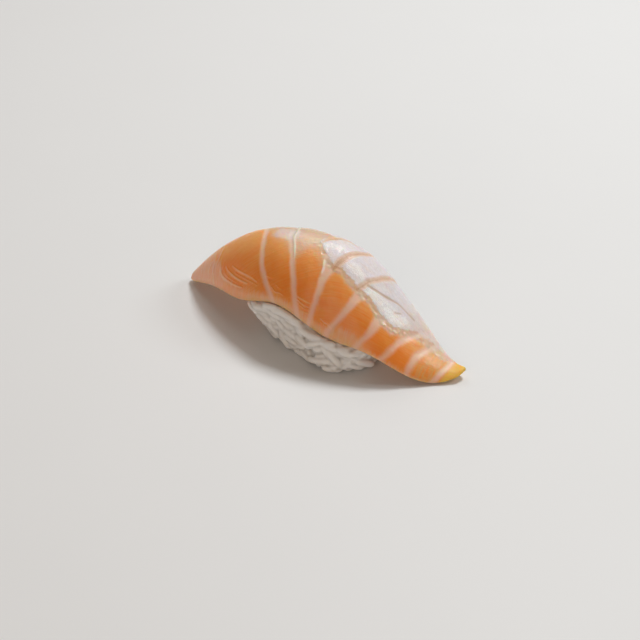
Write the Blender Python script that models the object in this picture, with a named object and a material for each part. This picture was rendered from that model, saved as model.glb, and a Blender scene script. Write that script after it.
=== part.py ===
"""Salmon belly nigiri: a leaf-shaped slice of salmon belly draped over a pressed block of rice.

Metres, +Z up. The origin is the middle of the rice's flat foot, X runs along the slice from its left tip to
its right tip, and -Y is the side where the cut face of the slice hangs lowest.
"""

import math
import random

import bmesh
import bpy
from mathutils import Matrix, Vector, noise
from mathutils.bvhtree import BVHTree

MM = 0.001

# The slice, from tip to tip and from the table to the top of its arch.
SLICE_HALF_LENGTH = 45.0 * MM
SLICE_TOP = 29.4 * MM
SLICE_THICKNESS = 5.2 * MM
TIP_THICKNESS = 1.1 * MM
TIP_HALF_WIDTH = 0.7 * MM
TIP_TOP = 2.0 * MM
TIP_HEM = 0.75 * MM
RIGHT_TIP_LIFT = 1.3 * MM
RIGHT_TIP_LIFT_LENGTH = 8.0 * MM
ARCH_ANGLE = math.radians(72.0)
HEM_THINNING = 0.5
HEM_RIPPLE = 1.4 * MM
HEM_RIPPLE_LENGTH = 30.7 * MM
HEM_RIPPLE_CREST = 24.8 * MM
SURFACE_WAVE = 0.28 * MM
SURFACE_WAVE_LENGTH = 13.0 * MM

# How far the front hem and the back edge reach from the middle line, and how high they hang.
FRONT_REACH = 16.7 * MM
FRONT_HEM_RISE = 12.3 * MM
BACK_REACH = 12.3 * MM
BACK_HEM_RISE = 14.0 * MM

# Shallow grooves where the sheets of fat cross the flesh: x of each on top and at the front hem.
GROOVES = [(-18.5, -7.5), (-9.5, 1.0), (6.5, 5.2), (17.5, 10.5), (25.5, 19.5), (32.5, 26.0), (37.0, 32.8)]
GROOVE_DEPTH = 0.3 * MM
GROOVE_WIDTH = 1.5 * MM

# Mesh fineness of the slice: columns round its section, rings from tip to tip.
SLICE_COLUMNS = 28
SLICE_RINGS = 72

# The rice block: it stands askew under the slice, and its left end is undercut.
RICE_CENTRE = Vector((2.6 * MM, -2.2 * MM))
RICE_ASKEW = math.radians(-8.0)
RICE_HALF_LENGTH = 20.4 * MM
RICE_FRONT_REACH = 14.5 * MM
RICE_FRONT_BULGE = 1.6 * MM
RICE_BULGE_PLACE = 0.45
RICE_BULGE_SPREAD = 0.3
RICE_BACK_REACH = 11.2 * MM
RICE_HEIGHT = 27.0 * MM
RICE_WAIST_HEIGHT = 6.0 * MM
RICE_FOOT_FLATNESS = 1.12
RICE_SQUARENESS = 3.0
RICE_UNDERCUT = 0.30
RICE_UNDERCUT_HEIGHT = 8.5 * MM
RICE_COLUMNS = 32
RICE_RINGS = 16
RICE_BITE = 0.6
FIT_GAP = 0.4 * MM

# The grains that show on the rice.
GRAIN_LENGTH = 5.7 * MM
GRAIN_WIDTH = 2.35 * MM
GRAIN_PLUMPNESS = 1.2
GRAIN_COLUMNS = 5
GRAIN_RINGS = 4
GRAIN_COUNT = 115
GRAIN_SEED = 12
GRAIN_BAND_LOW = 1.0 * MM
GRAIN_BAND_HIGH = 15.0 * MM
GRAIN_LOW = 0.02
GRAIN_HIGH = 0.28
GRAIN_FLOOR_GAP = 0.15 * MM
GRAIN_GAP = 0.5 * MM
GRAIN_TRIES = 8
GOLDEN_TURN = math.pi * (3.0 - math.sqrt(5.0))


def bell(x, top, left_power, right_power, left_shoulder=2.0):
    """A smooth hump along the slice: 1 at top, 0 at both tips, fuller for a smaller power."""
    if x < top:
        share = (top - x) / (top + SLICE_HALF_LENGTH)
        return max(0.0, 1.0 - min(share, 1.0) ** left_shoulder) ** left_power
    share = (x - top) / (SLICE_HALF_LENGTH - top)
    return max(0.0, 1.0 - min(share, 1.0) ** 2) ** right_power


def smoothstep(low, high, value):
    share = min(max((value - low) / (high - low), 0.0), 1.0)
    return share * share * (3.0 - 2.0 * share)


def right_lift(x):
    """The right tip curls up off the table by a little."""
    start = SLICE_HALF_LENGTH - RIGHT_TIP_LIFT_LENGTH
    return RIGHT_TIP_LIFT * max(0.0, (x - start) / RIGHT_TIP_LIFT_LENGTH) ** 2


def ridge_line(x):
    """Height of the slice's highest line at x."""
    return TIP_TOP + right_lift(x) + (SLICE_TOP - TIP_TOP) * bell(x, 1.6 * MM, 1.04, 1.96, 2.5)


def front_hem(x):
    """(y, z) of the slice's lower front edge at x."""
    y = -TIP_HALF_WIDTH - FRONT_REACH * bell(x, 7.6 * MM, 1.0, 0.64)
    ripple = math.cos(2 * math.pi * (x - HEM_RIPPLE_CREST) / HEM_RIPPLE_LENGTH)
    z = TIP_HEM + right_lift(x) + FRONT_HEM_RISE * bell(x, -1.7 * MM, 1.31, 2.06)
    return y, z + HEM_RIPPLE * ripple * bell(x, 0.0, 0.5, 0.5)


def back_hem(x):
    """(y, z) of the slice's lower back edge at x."""
    y = TIP_HALF_WIDTH + BACK_REACH * bell(x, -2 * MM, 0.93, 1.31)
    z = TIP_HEM + right_lift(x) + BACK_HEM_RISE * bell(x, 2 * MM, 1.31, 1.54)
    return y, z


def outer_point(x, across):
    """A point of the slice's outer face: across is -1 at the front hem, 0 on top, 1 at the back edge."""
    y_edge, z_edge = front_hem(x) if across < 0 else back_hem(x)
    angle = abs(across) * ARCH_ANGLE
    reach = math.sin(angle) / math.sin(ARCH_ANGLE)
    drop = (1 - math.cos(angle)) / (1 - math.cos(ARCH_ANGLE))
    z_top = ridge_line(x)
    return Vector((x, y_edge * reach, z_top - (z_top - z_edge) * drop))


def outer_directions(x, across):
    """Outward normal of the outer face, and the way over it from front to back."""
    step = 0.4 * MM
    left = max(x - step, -SLICE_HALF_LENGTH)
    right = min(x + step, SLICE_HALF_LENGTH)
    along = outer_point(right, across) - outer_point(left, across)
    over = outer_point(x, min(across + 0.01, 1.0)) - outer_point(x, max(across - 0.01, -1.0))
    return along.cross(over).normalized(), over.normalized()


def thickness(x, across):
    """Thickness of the slice: thin at the tips, and at the front hem, where the knife left it."""
    body = TIP_THICKNESS + (SLICE_THICKNESS - TIP_THICKNESS) * bell(x, 4 * MM, 0.60, 0.75)
    return body * (1.0 - HEM_THINNING * smoothstep(0.45, 1.0, -across))


def groove(x, across):
    """Depth of the grooves at a point of the outer face; they fade out over the back."""
    depth = 0.0
    share = min(max(-across, 0.0), 1.0) ** 1.3
    for on_top, at_hem in GROOVES:
        line = (on_top + (at_hem - on_top) * share) * MM
        depth = max(depth, math.exp(-((x - line) / GROOVE_WIDTH) ** 2))
    return GROOVE_DEPTH * depth * (1.0 - smoothstep(-0.1, 0.6, across))


def slice_point(x, turn, grow):
    """A point of the slice's skin.

    turn goes round the section from the front lip over the outer face to the back lip, and back under it.
    grow swells the skin outwards, which makes the tool that fits the rice to the slice.
    """
    across = -math.cos(turn)
    normal, over = outer_directions(x, across)
    half = thickness(x, across) / 2
    wave = SURFACE_WAVE * noise.noise(outer_point(x, across) / SURFACE_WAVE_LENGTH)
    middle = outer_point(x, across) - normal * (half - wave * bell(x, 0.0, 0.5, 0.5))
    fullness = abs(math.sin(turn)) ** 0.55
    side = 1.0 if math.sin(turn) >= 0 else -1.0
    if side > 0:
        half -= groove(x, across)
    skin = middle + normal * (half + grow) * fullness * side
    lip = math.copysign(math.sqrt(max(0.0, 1.0 - fullness ** 2)), math.cos(turn))
    return skin - over * grow * lip


def new_object(name, mesh, collection):
    obj = bpy.data.objects.new(name, mesh)
    collection.objects.link(obj)
    return obj


def slice_mesh(name, grow):
    """A UV sphere with its poles at the two tips, pulled to the slice's sections."""
    shape = bmesh.new()
    bmesh.ops.create_uvsphere(shape, u_segments=SLICE_COLUMNS, v_segments=SLICE_RINGS, radius=1.0)
    reach = SLICE_HALF_LENGTH
    for vert in shape.verts:
        x = -reach * vert.co.z
        if math.hypot(vert.co.x, vert.co.y) < 1e-4:
            ring = [slice_point(x, turn, grow) for turn in (math.pi / 2, -math.pi / 2)]
            outwards = Vector((math.copysign(grow, x), 0.0, 0.0))
            vert.co = (ring[0] + ring[1]) / 2 + outwards
        else:
            vert.co = slice_point(x, math.atan2(vert.co.y, vert.co.x), grow)
    mesh = bpy.data.meshes.new(name)
    shape.to_mesh(mesh)
    shape.free()
    return mesh


def superellipse(angle, power):
    """Unit point of a rounded rectangle at an angle."""
    c, s = math.cos(angle), math.sin(angle)
    scale = (abs(c) ** power + abs(s) ** power) ** (-1.0 / power)
    return c * scale, s * scale


def under_slice(x, y, z):
    """Draws a point of the block in under the slice's outer face, so that none of it stands proud."""
    cover = RICE_BITE * thickness(x, 0.0)
    z_top = ridge_line(x)
    y_edge, z_edge = front_hem(x) if y < 0 else back_hem(x)
    z = min(z, z_top - cover)
    if z <= z_edge:
        return Vector((x, y, z))
    drop = (z_top - z) / (z_top - z_edge) * (1 - math.cos(ARCH_ANGLE))
    reach = abs(y_edge) * math.sin(math.acos(1 - drop)) / math.sin(ARCH_ANGLE)
    return Vector((x, math.copysign(min(abs(y), reach - cover), y), z))


def rice_profile(level):
    """(width share, height) of the block's side; level runs from -1 at the foot to 1 at the top."""
    if level < 0:
        height = RICE_WAIST_HEIGHT * max(0.0, 1.0 + level * RICE_FOOT_FLATNESS)
        return (1.0 - level ** 4) ** 0.25, height
    height = RICE_WAIST_HEIGHT + (RICE_HEIGHT - RICE_WAIST_HEIGHT) * level
    return (1.0 - level ** 2.6) ** 0.4, height


def rice_core_mesh():
    """The pressed block: a rounded loaf with a flat foot."""
    shape = bmesh.new()
    bmesh.ops.create_uvsphere(shape, u_segments=RICE_COLUMNS, v_segments=RICE_RINGS, radius=1.0)
    for vert in shape.verts:
        width, height = rice_profile(vert.co.z)
        c, s = superellipse(math.atan2(vert.co.y, vert.co.x), RICE_SQUARENESS)
        low = 1.0 - smoothstep(0.0, RICE_UNDERCUT_HEIGHT, height)
        width *= 1.0 - RICE_UNDERCUT * low * max(0.0, -c) ** 1.5
        reach = RICE_BACK_REACH
        if s < 0:
            bulge = math.exp(-((c - RICE_BULGE_PLACE) / RICE_BULGE_SPREAD) ** 2)
            reach = RICE_FRONT_REACH + RICE_FRONT_BULGE * bulge
        plan = Vector((RICE_HALF_LENGTH * c * width, reach * s * width))
        plan.rotate(Matrix.Rotation(RICE_ASKEW, 2))
        plan += RICE_CENTRE
        vert.co = under_slice(plan.x, plan.y, height)
    flat = [face for face in shape.faces if all(v.co.z < 1e-6 for v in face.verts)]
    bmesh.ops.dissolve_faces(shape, faces=flat)
    mesh = bpy.data.meshes.new("rice")
    shape.to_mesh(mesh)
    shape.free()
    return mesh


def apply_boolean(obj, operation, operand=None, collection=None):
    """Cuts or joins obj, and leaves the result as its own mesh."""
    tool = obj.modifiers.new("join", "BOOLEAN")
    tool.operation = operation
    tool.solver = "EXACT"
    if collection is None:
        tool.object = operand
    else:
        tool.operand_type = "COLLECTION"
        tool.collection = collection
    graph = bpy.context.evaluated_depsgraph_get()
    mesh = bpy.data.meshes.new_from_object(obj.evaluated_get(graph))
    obj.modifiers.clear()
    obj.data = mesh


def keep_largest_body(mesh):
    """Drops loose scraps and sealed hollows that joining left, and keeps the block itself."""
    shape = bmesh.new()
    shape.from_mesh(mesh)
    bmesh.ops.remove_doubles(shape, verts=shape.verts, dist=0.002 * MM)
    unseen = set(shape.faces)
    bodies = []
    while unseen:
        front = [unseen.pop()]
        body = set(front)
        while front:
            face = front.pop()
            for edge in face.edges:
                if len(edge.link_faces) > 2:
                    continue
                for other in edge.link_faces:
                    if other in unseen:
                        unseen.discard(other)
                        body.add(other)
                        front.append(other)
        bodies.append(body)
    bodies.sort(key=len)
    scraps = [face for body in bodies[:-1] for face in body]
    bmesh.ops.delete(shape, geom=scraps, context="FACES")
    shape.to_mesh(mesh)
    shape.free()


def grain_mesh():
    """One cooked grain: a plump spindle along X with few sides."""
    shape = bmesh.new()
    bmesh.ops.create_uvsphere(shape, u_segments=GRAIN_COLUMNS, v_segments=GRAIN_RINGS, radius=0.5)
    bmesh.ops.rotate(shape, verts=shape.verts, matrix=Matrix.Rotation(math.pi / 2, 3, "Y"))
    for vert in shape.verts:
        plump = 1.0 + (GRAIN_PLUMPNESS - 1.0) * smoothstep(0.1, 0.3, abs(vert.co.x))
        width = GRAIN_WIDTH * plump
        vert.co = Vector((vert.co.x * GRAIN_LENGTH, vert.co.y * width, vert.co.z * width))
    mesh = bpy.data.meshes.new("grain")
    shape.to_mesh(mesh)
    shape.free()
    return mesh


def clears(points, slice_tree):
    """Whether a grain stays off the slice, under its arch and above the table."""
    for point in points:
        if point.z < GRAIN_FLOOR_GAP:
            return False
        if (under_slice(*point) - point).length > 0.01 * MM:
            return False
        nearest, normal, _, distance = slice_tree.find_nearest(point)
        if distance < GRAIN_GAP or (point - nearest).dot(normal) < 0:
            return False
    return True


def place_grain(rng, core_tree, index, slice_tree, corners):
    """Where one grain lies on the block's side, or None where it has no room."""
    angle = index * GOLDEN_TURN
    level = (index + 0.5) / GRAIN_COUNT
    for attempt in range(GRAIN_TRIES):
        height = GRAIN_BAND_LOW + (GRAIN_BAND_HIGH - GRAIN_BAND_LOW) * level
        height *= 1.0 - 0.09 * attempt
        centre = Vector((RICE_CENTRE.x, RICE_CENTRE.y, height))
        c, s = superellipse(angle + 0.05 * attempt, RICE_SQUARENESS)
        outwards = Vector((c * RICE_HALF_LENGTH, s * RICE_FRONT_REACH, rng.uniform(-0.2, 0.1) * MM))
        hit, normal, _, _ = core_tree.ray_cast(centre, outwards.normalized())
        if hit is None or normal.z < -0.9:
            continue
        along = normal.orthogonal().normalized()
        along.rotate(Matrix.Rotation(rng.uniform(0.0, 2 * math.pi), 3, normal))
        along = (along + normal * rng.uniform(-0.25, 0.25)).normalized()
        side = normal.cross(along).normalized()
        up = along.cross(side)
        turn = Matrix((along, side, up)).transposed().to_4x4()
        size = rng.uniform(0.86, 1.12)
        spot = hit + normal * GRAIN_WIDTH * rng.uniform(GRAIN_LOW, GRAIN_HIGH)
        spot.z = max(spot.z, GRAIN_WIDTH * 0.56 + abs(along.z) * GRAIN_LENGTH * 0.5)
        matrix = Matrix.Translation(spot) @ turn @ Matrix.Scale(size, 4)
        if clears([matrix @ corner for corner in corners], slice_tree):
            return matrix
    return None


def fuse_grains(rice, slice_tree):
    """Puts grains all over the block's sides and joins them to it."""
    rng = random.Random(GRAIN_SEED)
    heap = bpy.data.collections.new("grains")
    bpy.context.scene.collection.children.link(heap)
    mesh = grain_mesh()
    corners = [vert.co.copy() for vert in mesh.vertices]
    corners += [(mesh.vertices[a].co + mesh.vertices[b].co) / 2 for a, b in mesh.edge_keys]
    core_tree = tree_of(rice.data)
    for index in range(GRAIN_COUNT):
        matrix = place_grain(rng, core_tree, index, slice_tree, corners)
        if matrix is not None:
            grain = new_object("grain", mesh, heap)
            grain.matrix_world = matrix
    bpy.context.view_layer.update()
    apply_boolean(rice, "UNION", collection=heap)
    for grain in list(heap.objects):
        bpy.data.objects.remove(grain)
    bpy.data.collections.remove(heap)
    keep_largest_body(rice.data)


def tree_of(mesh):
    """A search tree over a mesh's faces."""
    shape = bmesh.new()
    shape.from_mesh(mesh)
    tree = BVHTree.FromBMesh(shape)
    shape.free()
    return tree


def material(name, colour, roughness):
    """A Principled material of one plain finish."""
    made = bpy.data.materials.new(name)
    made.use_nodes = True
    shader = made.node_tree.nodes["Principled BSDF"]
    shader.inputs["Base Color"].default_value = (*colour, 1.0)
    shader.inputs["Roughness"].default_value = roughness
    return made


def main():
    for obj in list(bpy.data.objects):
        bpy.data.objects.remove(obj)
    nigiri = bpy.data.collections.new("salmon_belly_nigiri")
    bpy.context.scene.collection.children.link(nigiri)

    salmon = new_object("salmon_slice", slice_mesh("salmon_slice", 0.0), nigiri)
    salmon.data.materials.append(material("salmon_flesh", (0.72, 0.25, 0.07), 0.3))
    salmon.data.shade_smooth()

    rice = new_object("rice", rice_core_mesh(), nigiri)
    fit = new_object("slice_fit_tool", slice_mesh("slice_fit_tool", FIT_GAP), nigiri)
    apply_boolean(rice, "DIFFERENCE", operand=fit)
    bpy.data.objects.remove(fit)
    fuse_grains(rice, tree_of(salmon.data))
    rice.data.materials.clear()
    rice.data.materials.append(material("cooked_rice", (0.80, 0.78, 0.72), 0.4))


main()
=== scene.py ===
"""Looks of a salmon belly nigiri: a leaf-shaped slice of fatty salmon draped over a block of rice.

Lengths are metres in the part's own frame. Lines on the slice are given in millimetres along it and as a
share across it: -1 at the front hem, 0 on top and 1 at the back edge.
"""

import logging
import math
import random
from dataclasses import dataclass
from enum import Enum

import bmesh
import bpy
import numpy as np
from mathutils import Matrix, Vector, noise
from mathutils.bvhtree import BVHTree


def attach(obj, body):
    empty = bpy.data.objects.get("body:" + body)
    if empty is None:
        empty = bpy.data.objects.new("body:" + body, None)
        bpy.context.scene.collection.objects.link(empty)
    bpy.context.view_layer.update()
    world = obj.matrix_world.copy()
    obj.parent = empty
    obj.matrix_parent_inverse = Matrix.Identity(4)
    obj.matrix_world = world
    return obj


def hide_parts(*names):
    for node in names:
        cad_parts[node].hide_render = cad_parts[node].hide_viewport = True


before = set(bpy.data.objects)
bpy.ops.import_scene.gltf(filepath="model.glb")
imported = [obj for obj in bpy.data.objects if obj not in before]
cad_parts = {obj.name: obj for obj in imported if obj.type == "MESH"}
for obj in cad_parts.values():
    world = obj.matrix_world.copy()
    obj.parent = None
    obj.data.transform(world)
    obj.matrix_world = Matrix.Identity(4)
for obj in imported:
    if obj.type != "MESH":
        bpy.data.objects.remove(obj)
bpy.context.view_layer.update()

MM = 0.001
# Millimetres that stand for "no line is near" and "well off the membrane", and three steps that spread evenly.
FAR, OFF_SKIN = 9.0, -6.0
SPREAD_ROUND, SPREAD_UP, SPREAD_ALONG = 0.7548776662, 0.569840291, 0.6180339887
LOG = logging.getLogger("nigiri")

Array, Piece = np.ndarray, bpy.types.Object
NodeSocket, NodeTree = bpy.types.NodeSocket, bpy.types.NodeTree
Triple = tuple[float, float, float]
Masks = dict[str, NodeSocket]


def smoothstep(low: float, high: float, value: Array) -> Array:
    """Eased ramp from 0 at low to 1 at high."""
    share = np.clip((value - low) / (high - low), 0.0, 1.0)
    return share * share * (3.0 - 2.0 * share)


def hill(value: Array, centre: float, spread: float) -> Array:
    """Bell curve that is 1 at the centre."""
    return np.exp(-((value - centre) / spread) ** 2)


def line_at(line: tuple[tuple[float, float], ...], x: Array) -> Array:
    """Share across the slice of a line given by its points, at x in millimetres."""
    marks, shares = np.array(line).T
    return np.interp(x, marks, shares)


def rough(points: Array, scale: float, seed: float = 0.0) -> Array:
    """Smooth noise in -1..1 at each point.

    Args:
        points: (n, 3) places in metres.
        scale: Size of a blotch in metres.
        seed: Shift that gives another pattern.

    Returns:
        (n,) values.
    """
    shift = Vector((seed * 7.13, seed * 3.71, seed * 5.37))
    return np.array([noise.noise(Vector(p) / scale + shift) for p in points])


def deselect() -> None:
    """Leaves object mode with nothing selected."""
    if bpy.context.object and bpy.context.object.mode != "OBJECT":
        bpy.ops.object.mode_set(mode="OBJECT")
    bpy.ops.object.select_all(action="DESELECT")


def take_primitive(name: str) -> Piece:
    """Names the primitive that was just added and returns it."""
    made = bpy.context.object
    made.name = name
    made.data.name = name
    return made


def pick(*pieces: Piece) -> None:
    """Selects these pieces alone and makes the first one active."""
    deselect()
    for piece in pieces:
        piece.select_set(True)
    bpy.context.view_layer.objects.active = pieces[0]


def apply_modifiers(piece: Piece) -> None:
    """Applies every modifier of a piece, first to last."""
    pick(piece)
    for modifier in list(piece.modifiers):
        bpy.ops.object.modifier_apply(modifier=modifier.name)


def coordinates(mesh: bpy.types.Mesh) -> Array:
    """(n, 3) vertex places of a mesh."""
    flat = np.empty(len(mesh.vertices) * 3, np.float32)
    mesh.vertices.foreach_get("co", flat)
    return flat.reshape(-1, 3).astype(float)


def set_coordinates(mesh: bpy.types.Mesh, points: Array) -> None:
    """Moves the vertices of a mesh to new places."""
    mesh.vertices.foreach_set("co", np.asarray(points, np.float32).ravel())
    mesh.update()


def store(mesh: bpy.types.Mesh, name: str, values: Array) -> None:
    """Keeps one number for each vertex as a named attribute."""
    layer = mesh.attributes.new(name, "FLOAT", "POINT")
    layer.data.foreach_set("value", np.asarray(values, np.float32))


@dataclass(frozen=True)
class Stroke:
    """A line drawn on the slice, with its half width, as sheets of fat and cracks run.

    points are (millimetres along, share across); half_widths are millimetres, evenly placed along the line, and
    a strength under 1 draws it fainter. A half width under 0 lets the line fade out.
    """

    points: tuple[tuple[float, float], ...]
    half_widths: tuple[float, ...]
    strength: float = 1.0

    def path(self, steps: int = 4) -> list[Triple]:
        """Smooth way through the points.

        Args:
            steps: Pieces between two points.

        Returns:
            (along, across, half width) of each place on the way.
        """
        given = [self.points[0], *self.points, self.points[-1]]
        marks = np.linspace(0.0, 1.0, len(self.half_widths))
        way = []
        count = len(self.points) - 1
        for index in range(count):
            before, start, end, after = given[index:index + 4]
            for step in range(steps):
                share = step / steps
                place = [0.5 * (2 * b + (c - a) * share + (2 * a - 5 * b + 4 * c - d) * share ** 2
                                + (3 * b - 3 * c + d - a) * share ** 3)
                         for a, b, c, d in zip(before, start, end, after)]
                way.append((*place, float(np.interp((index + share) / count, marks, self.half_widths))))
        way.append((*self.points[-1], self.half_widths[-1]))
        return way


FAT_SHEETS = (
    Stroke(((-19.4, 0.12), (-18.3, -0.05), (-17.0, -0.22), (-15.2, -0.45), (-14.0, -0.59), (-11.6, -0.74),
            (-8.9, -0.87), (-6.4, -1.02)), (0.75, 0.65, 0.75), 0.97),
    Stroke(((-11.0, 0.25), (-9.3, 0.0), (-8.5, -0.14), (-7.5, -0.23), (-5.2, -0.39), (-3.8, -0.52),
            (-2.2, -0.65), (-1.0, -0.77), (1.0, -0.92), (2.0, -1.05)), (1.0, 0.7, 0.75, 0.8), 1.0),
    Stroke(((4.6, -0.1), (5.2, -0.24), (5.9, -0.39), (5.8, -0.52), (5.8, -0.7), (5.6, -0.82),
            (5.2, -0.94), (4.9, -1.05)), (2.2, 1.4, 0.75, 0.65, 0.6), 1.0),
    Stroke(((16.2, -0.24), (15.9, -0.34), (15.4, -0.48), (14.1, -0.66), (12.8, -0.79), (11.5, -0.89),
            (9.6, -1.04)), (1.7, 1.2, 0.7, 0.65, 0.6), 1.0),
    Stroke(((23.4, -0.3), (22.8, -0.41), (22.2, -0.54), (21.8, -0.68), (20.8, -0.81), (19.4, -0.94),
            (18.4, -1.05)), (1.9, 0.95, 0.6, 0.6), 1.0),
    Stroke(((32.2, 0.1), (31.2, -0.07), (29.0, -0.42), (27.8, -0.69), (26.4, -0.92), (25.6, -1.05)),
           (1.0, 0.65, 0.6, 0.6), 0.95),
    Stroke(((36.4, 0.3), (34.4, -0.2), (33.1, -0.57), (32.9, -0.89), (32.9, -1.05)), (0.9, 1.0, 1.0, 0.7), 0.6),
    Stroke(((40.9, 0.2), (40.9, -0.03), (40.2, -0.49), (39.3, -0.87), (38.9, -1.05)), (0.5, 0.75, 1.0), 0.85),
)

# Creases at the left end and along the hem: raised folds whose pale lines are partly thin fat and partly painted
# highlight on the ridges.
CREASES = (
    Stroke(((-34.1, -0.12), (-34.2, -0.26), (-33.2, -0.49), (-33.0, -0.66), (-32.4, -0.79), (-31.5, -0.92)),
           (0.12, 0.24, 0.12)),
    Stroke(((-34.4, -0.5), (-34.9, -0.65), (-35.0, -0.76)), (0.1, 0.18, 0.1)),
    Stroke(((-39.1, -0.23), (-38.9, -0.53), (-38.4, -0.75)), (0.1, 0.2, 0.08), 0.7),
    Stroke(((-31.8, -0.1), (-31.6, -0.38), (-31.6, -0.56)), (0.15, 0.3, 0.1)),
    Stroke(((-30.4, -0.5), (-29.9, -0.66), (-28.6, -0.765), (-26.8, -0.812), (-23.8, -0.842), (-20.9, -0.856),
            (-19.0, -0.862)), (0.12, 0.26, 0.26, 0.12)),
    Stroke(((-27.4, -0.64), (-26.0, -0.7), (-23.8, -0.745), (-21.4, -0.775), (-19.8, -0.79), (-17.2, -0.808)),
           (0.12, 0.24, 0.24, 0.12)),
    Stroke(((-24.8, -0.625), (-22.9, -0.665), (-20.8, -0.694), (-18.2, -0.722), (-16.0, -0.75), (-13.8, -0.788)),
           (0.08, 0.22, 0.22, 0.1)),
    Stroke(((-22.9, -0.716), (-20.4, -0.74), (-17.9, -0.768), (-15.6, -0.794), (-13.6, -0.82)),
           (0.06, 0.16, 0.08), 0.7),
    Stroke(((-28.9, -0.56), (-28.2, -0.66), (-26.8, -0.755), (-24.6, -0.79), (-21.6, -0.815)),
           (0.06, 0.14, 0.06), 0.6),
    Stroke(((-21.6, -0.59), (-18.6, -0.62)), (0.06, 0.1), 0.5),
    Stroke(((-11.5, -0.71), (-10.0, -0.72), (-8.6, -0.72)), (0.12, 0.12, 0.06), 0.8),
    Stroke(((-8.2, -0.82), (-6.6, -0.86), (-4.9, -0.85), (-3.6, -0.86)), (0.15, 0.15, 0.08), 0.8),
    Stroke(((-7.4, -0.77), (-5.8, -0.8), (-4.4, -0.8)), (0.08, 0.12, 0.06), 0.6),
    Stroke(((0.6, -0.79), (3.2, -0.79), (4.5, -0.78)), (0.12, 0.16, 0.08)),
    Stroke(((0.4, -0.82), (2.6, -0.83), (4.6, -0.82)), (0.1, 0.14, 0.08)),
    Stroke(((1.6, -0.855), (3.2, -0.858), (4.7, -0.85)), (0.08, 0.12, 0.08), 0.8),
    Stroke(((2.6, -0.885), (3.5, -0.885), (4.8, -0.88)), (0.06, 0.1, 0.06), 0.7),
    Stroke(((8.3, -0.845), (9.5, -0.86), (10.5, -0.86), (11.4, -0.88)), (0.1, 0.18, 0.08)),
    Stroke(((8.4, -0.88), (10.2, -0.888)), (0.08, 0.12), 0.8),
)

CRACKS = (
    Stroke(((7.2, -0.36), (7.6, -0.28), (8.2, -0.19), (9.1, -0.08), (10.2, 0.02), (11.4, 0.18), (12.0, 0.42),
            (11.8, 0.7), (11.0, 1.0)), (0.45, 0.8, 0.55, 0.32, 0.25, 0.2)),
    Stroke(((14.7, -0.38), (15.4, -0.31), (16.0, -0.22), (16.8, -0.13), (17.8, -0.03), (18.9, 0.2), (19.4, 0.45),
            (19.0, 0.72), (18.0, 1.0)), (0.4, 0.32, 0.26, 0.22, 0.18)),
    Stroke(((0.6, -0.12), (1.4, -0.02), (2.8, 0.07), (4.6, 0.18), (6.8, 0.2), (9.6, 0.16)),
           (-0.3, 0.3, 0.35, 0.0, -0.6)),
    Stroke(((-1.5, 0.32), (1.0, 0.42), (2.6, 0.62), (3.0, 0.82), (2.6, 1.0)), (-0.85, -0.1, 0.1, 0.0)),
    Stroke(((-9.5, 0.4), (-7.4, 0.6), (-6.6, 0.8), (-6.8, 1.0)), (-0.85, 0.05, -0.1)),
    Stroke(((28.0, 0.25), (27.6, 0.55), (26.6, 0.85), (25.8, 1.0)), (-0.85, 0.0, -0.1)),
    Stroke(((-19.4, 0.5), (-17.8, 0.66), (-17.2, 0.84), (-17.6, 1.0)), (-0.85, -0.1, -0.2)),
)

SLITS = (
    Stroke(((16.6, -0.24), (18.9, -0.2), (20.6, -0.17), (22.4, -0.11), (24.2, -0.06), (26.4, -0.035),
            (28.5, -0.01)), (0.26, 0.22, 0.12, 0.06)),
    Stroke(((24.6, -0.21), (25.6, -0.14)), (0.05, 0.05)),
)

# Lines along the slice, as (millimetres along, share across): the front of the pale haze, the top of the thin
# rim at the front hem, and the crest past which the left end takes the rim's pale colour, partly painted sheen.
HAZE_BORDER = ((-45.0, 0.05), (-38.0, 0.12), (-32.0, 0.26), (-26.0, 0.36), (-22.0, 0.28), (-19.0, 0.05),
               (-15.0, -0.1), (-11.0, -0.22), (-8.0, -0.27), (-5.0, -0.38), (-3.5, -0.37), (-1.6, -0.28),
               (1.0, -0.27), (3.2, -0.34), (4.6, -0.4), (8.0, -0.4), (45.0, -0.2))

RIM_BORDER = ((-45.0, -0.3), (-36.0, -0.4), (-30.0, -0.62), (-28.4, -0.74), (-25.0, -0.82), (-20.8, -0.87),
              (-12.8, -0.92), (-5.8, -0.92), (0.5, -0.9), (4.0, -0.9), (7.5, -0.91), (11.0, -0.91),
              (14.0, -0.84), (18.0, -0.83), (20.5, -0.92), (23.0, -0.95), (30.0, -0.98), (36.0, -0.95),
              (45.0, -0.95))

CREST_SHEEN_BORDER = ((-45.0, -0.36), (-42.0, -0.27), (-37.0, -0.16), (-32.0, -0.07), (-29.0, -0.02), (-25.0, 0.08),
                (-20.0, 0.3), (-15.0, 1.2), (45.0, 1.2))

# Strokes where the membrane is painted whiter as highlight; there it is also smoother and more deeply pitted.
SKIN_HIGHLIGHTS = (
    Stroke(((2.2, -0.12), (3.6, -0.1), (5.6, -0.06)), (0.5, 0.9, 0.4)),
    Stroke(((10.6, -0.2), (12.0, -0.19), (14.0, -0.2)), (0.9, 1.3, 0.7)),
    Stroke(((16.6, -0.31), (19.0, -0.27), (22.0, -0.27), (25.5, -0.27), (27.4, -0.18)), (0.7, 1.2, 1.3, 0.7)),
)

MEMBRANE_BORDER = ((-15.0, 0.12), (-13.4, -0.02), (-6.9, -0.06), (-3.0, -0.1), (1.0, -0.14), (2.4, -0.22),
                   (5.0, -0.3), (7.0, -0.35), (9.1, -0.31), (14.1, -0.37), (18.8, -0.37), (22.9, -0.43),
                   (25.9, -0.44), (28.5, -0.3), (31.0, -0.13), (35.2, -0.06), (39.0, 0.0), (41.0, 0.2))

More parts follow.
